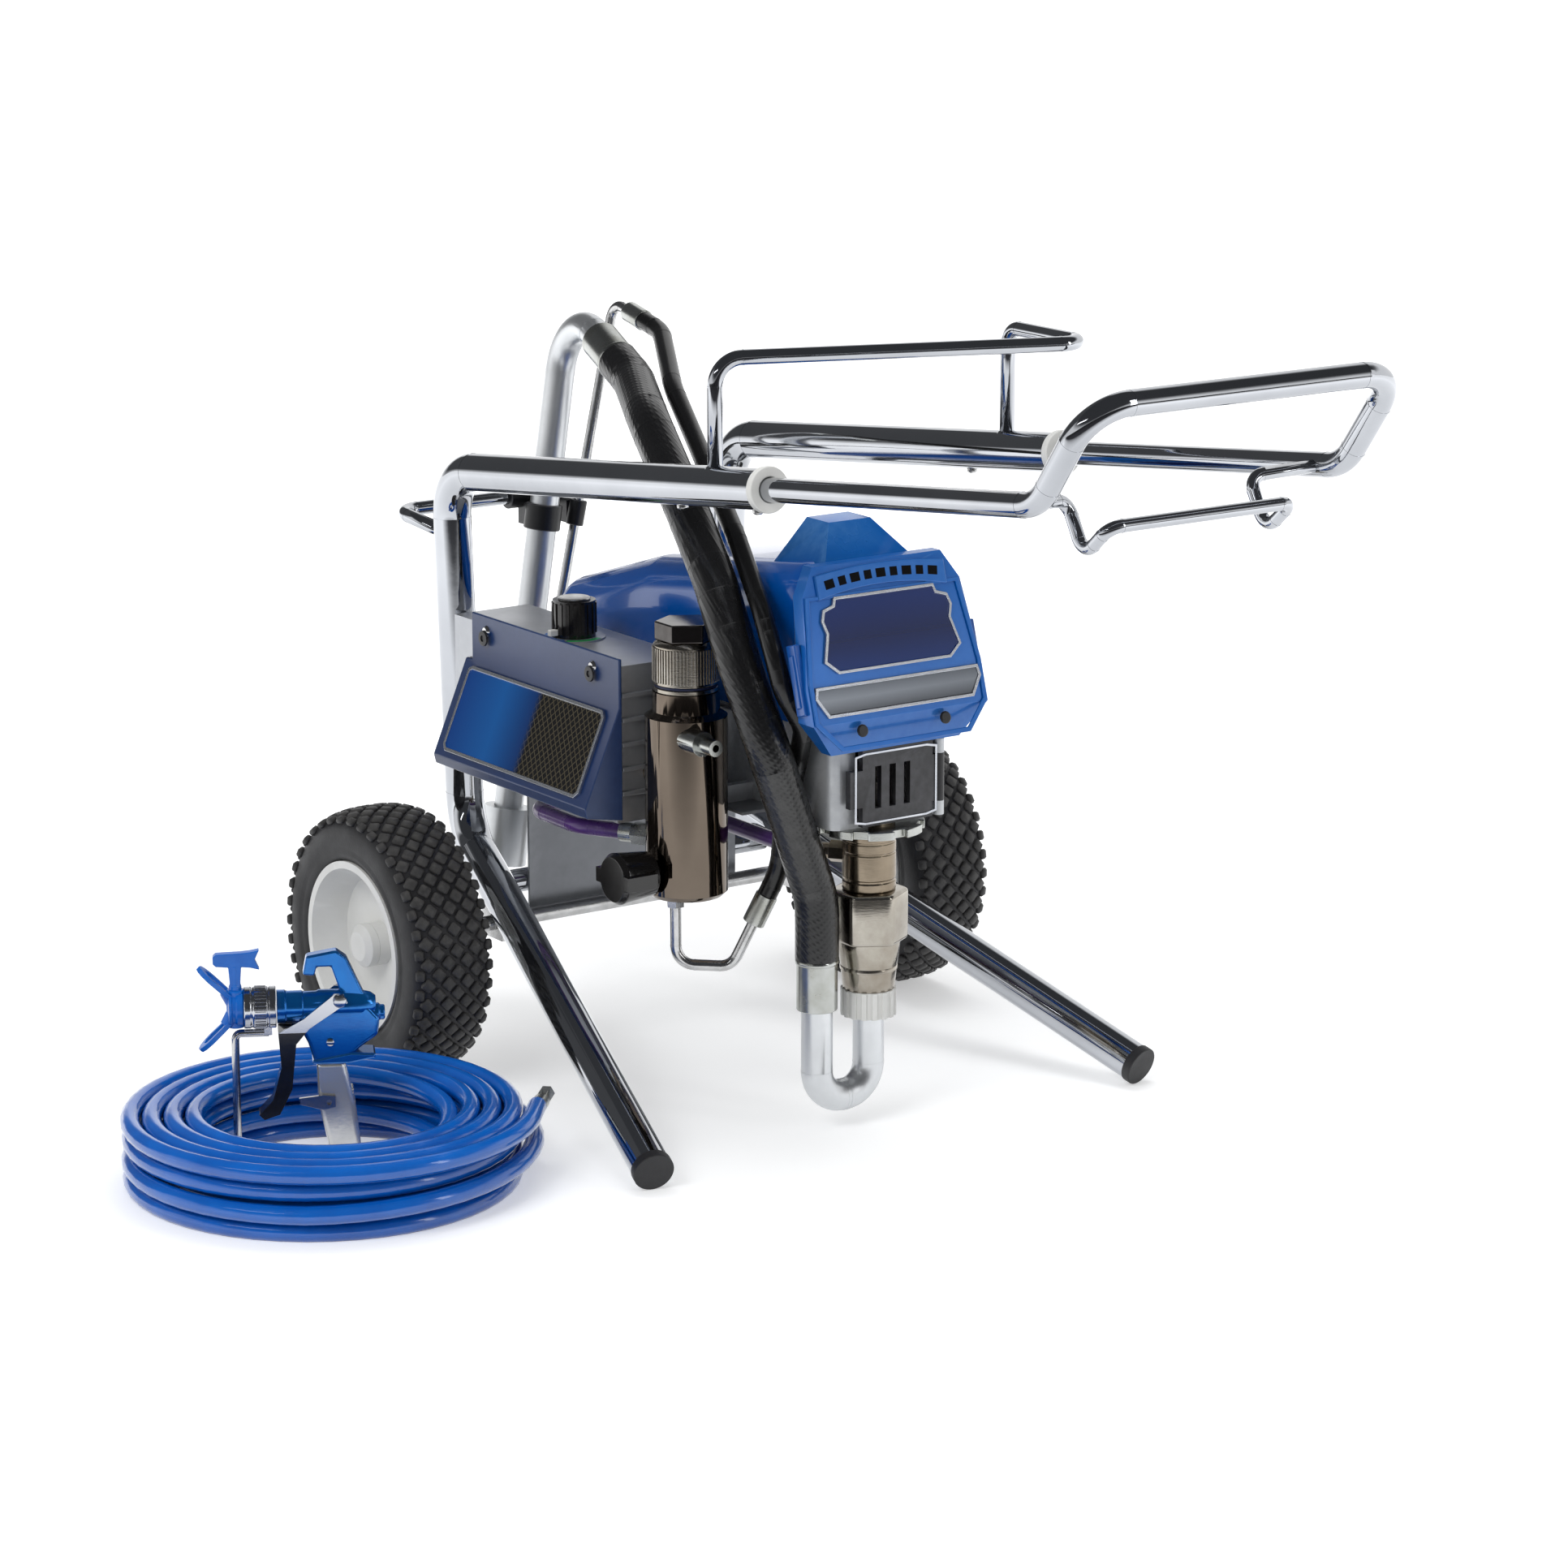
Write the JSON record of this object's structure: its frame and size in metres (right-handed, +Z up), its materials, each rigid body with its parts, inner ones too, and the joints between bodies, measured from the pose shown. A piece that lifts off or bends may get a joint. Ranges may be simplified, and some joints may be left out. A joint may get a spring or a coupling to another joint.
{
  "type": "airless paint sprayer",
  "caption": "Airless paint sprayer on a low two-wheeled tube cart with a sliding handle, electric drive, piston pump, filter, suction and drain hoses, spray gun and coiled hose.",
  "frame": {"origin": "centre of the footprint at floor level, measured without the coiled hose", "axes": "+Z up; -Y towards the pump and the hand grip; +X to the side away from the controls; the axle runs along X"},
  "size_m": [0.8767, 0.9626, 0.6646],
  "materials": {
    "chrome_tube": "polished",
    "cap_rubber": "matte",
    "collar_white": "matte",
    "steel_screw": "polished",
    "plate_grey": "satin",
    "tyre_black": "matte",
    "rim_white": "satin",
    "hub_cap_white": "gloss",
    "housing_cast": "cast",
    "cover_blue": "gloss",
    "badge_silver": "satin",
    "motor_steel": "satin",
    "winding_copper": "satin",
    "gear_steel": "satin",
    "piston_chrome": "polished",
    "pump_nickel": "satin",
    "nut_steel": "satin",
    "guard_black": "matte",
    "nut_white": "gloss",
    "tube_aluminium": "satin",
    "hose_black": "satin",
    "fitting_zinc": "satin",
    "manifold_nickel": "polished",
    "filter_mesh": "satin",
    "hose_violet": "satin",
    "box_aluminium": "satin",
    "panel_blue": "satin",
    "label_silver": "satin",
    "board_green": "satin",
    "gun_blue": "gloss",
    "gun_silver": "polished",
    "strap_steel": "satin",
    "trigger_black": "matte",
    "tip_blue": "satin",
    "hose_blue": "gloss"
  },
  "bodies": {
    "cart": {"left_side_tube": "chrome_tube", "right_side_tube": "chrome_tube", "foot_caps": "cap_rubber", "handle_collars": "collar_white", "cap_screws": "steel_screw", "upper_hose_rack": "chrome_tube", "rear_hose_rack": "chrome_tube", "cross_tubes": "chrome_tube", "axle": "steel_screw", "mounting_plate": "plate_grey", "drive_housing": "housing_cast", "motor_cover": "cover_blue", "front_cover": "cover_blue", "badge_plates": "badge_silver", "motor_shell": "motor_steel", "pump_cylinder": "pump_nickel", "intake_valve": "pump_nickel", "jam_nut": "nut_steel", "suction_nut": "nut_white", "suction_tubes": "tube_aluminium", "suction_hose": "hose_black", "hose_ferrules": "fitting_zinc", "drain_hose": "hose_black", "drain_tubes": "fitting_zinc", "hose_clips": "guard_black", "filter_manifold": "manifold_nickel", "filter_cap": "manifold_nickel", "filter_element": "filter_mesh", "manifold_fittings": "fitting_zinc", "link_hose": "hose_violet", "control_box": "box_aluminium", "control_panel": "panel_blue", "panel_label": "label_silver", "circuit_board": "board_green", "hose_coil": "hose_blue", "hose_couplings": "fitting_zinc"},
    "left_wheel": {"left_tyre": "tyre_black", "left_rim": "rim_white", "left_hub_cap": "hub_cap_white"},
    "right_wheel": {"right_tyre": "tyre_black", "right_rim": "rim_white", "right_hub_cap": "hub_cap_white"},
    "handle_frame": {"handle": "chrome_tube", "handle_hook": "chrome_tube"},
    "rotor": {"motor_rotor": "winding_copper"},
    "gear": {"drive_gear": "gear_steel"},
    "piston": {"connecting_rod": "gear_steel", "piston_rod": "piston_chrome"},
    "guard": {"pump_guard": "guard_black"},
    "prime": {"prime_knob": "guard_black"},
    "pressure": {"pressure_knob": "guard_black"},
    "gun": {"gun_body": "gun_blue", "gun_handle": "gun_silver", "trigger_guard": "strap_steel", "tip_guard": "tip_blue"},
    "gun_trigger": {"trigger": "trigger_black"},
    "gun_lock": {"trigger_lock": "strap_steel"},
    "gun_tip": {"spray_tip": "tip_blue"}
  },
  "joints": [
    {"name": "left_wheel_spin", "type": "hinge", "parent": "cart", "child": "left_wheel", "pos_m": [-0.14177, 0.30725, 0.114], "axis": [1, 0, 0], "continuous": true},
    {"name": "right_wheel_spin", "type": "hinge", "parent": "cart", "child": "right_wheel", "pos_m": [0.36023, 0.30725, 0.114], "axis": [1, 0, 0], "continuous": true},
    {"name": "handle_slide", "type": "slide", "parent": "cart", "child": "handle_frame", "axis": [0, 0.9932, -0.1162], "range_m": [0, 0.25]},
    {"name": "motor_spin", "type": "hinge", "parent": "cart", "child": "rotor", "pos_m": [0.10923, 0.18125, 0.3403], "axis": [0, -1, 0], "continuous": true},
    {"name": "gear_spin", "type": "hinge", "parent": "cart", "child": "gear", "pos_m": [0.10923, 0.01625, 0.3], "axis": [0, -1, 0], "continuous": true},
    {"name": "piston_stroke", "type": "slide", "parent": "cart", "child": "piston", "axis": [0, 0, 1], "range_m": [0, 0.024]},
    {"name": "guard_door", "type": "hinge", "parent": "cart", "child": "guard", "pos_m": [0.15823, -0.04725, 0.284], "axis": [0, 0, 1], "range_deg": [0, 110]},
    {"name": "prime_turn", "type": "hinge", "parent": "cart", "child": "prime", "pos_m": [-0.05077, 0.07425, 0.207], "axis": [-1, 0, 0], "range_deg": [0, 90]},
    {"name": "pressure_turn", "type": "hinge", "parent": "cart", "child": "pressure", "pos_m": [-0.00777, 0.22725, 0.385], "axis": [0, 0, 1], "range_deg": [-150, 120]},
    {"name": "gun_lift", "type": "slide", "parent": "cart", "child": "gun", "axis": [0, 0, 1], "range_m": [0, 0.25]},
    {"name": "trigger_pull", "type": "hinge", "parent": "gun", "child": "gun_trigger", "pos_m": [-0.29453, 0.12019, 0.138], "axis": [-0.4695, -0.8829, 0], "range_deg": [0, 14], "stiffness_Nm_per_rad": 0.5, "springref_deg": -28.65},
    {"name": "lock_turn", "type": "hinge", "parent": "gun", "child": "gun_lock", "pos_m": [-0.30923, 0.11385, 0.056], "axis": [0.4695, 0.8829, 0], "range_deg": [0, 60]},
    {"name": "tip_turn", "type": "hinge", "parent": "gun", "child": "gun_tip", "pos_m": [-0.36517, 0.15775, 0.131], "axis": [0, 0, 1], "range_deg": [0, 180]}
  ],
  "couplings": [
    {"joint": "gear_spin", "follows": "motor_spin", "ratio": -0.25}
  ]
}
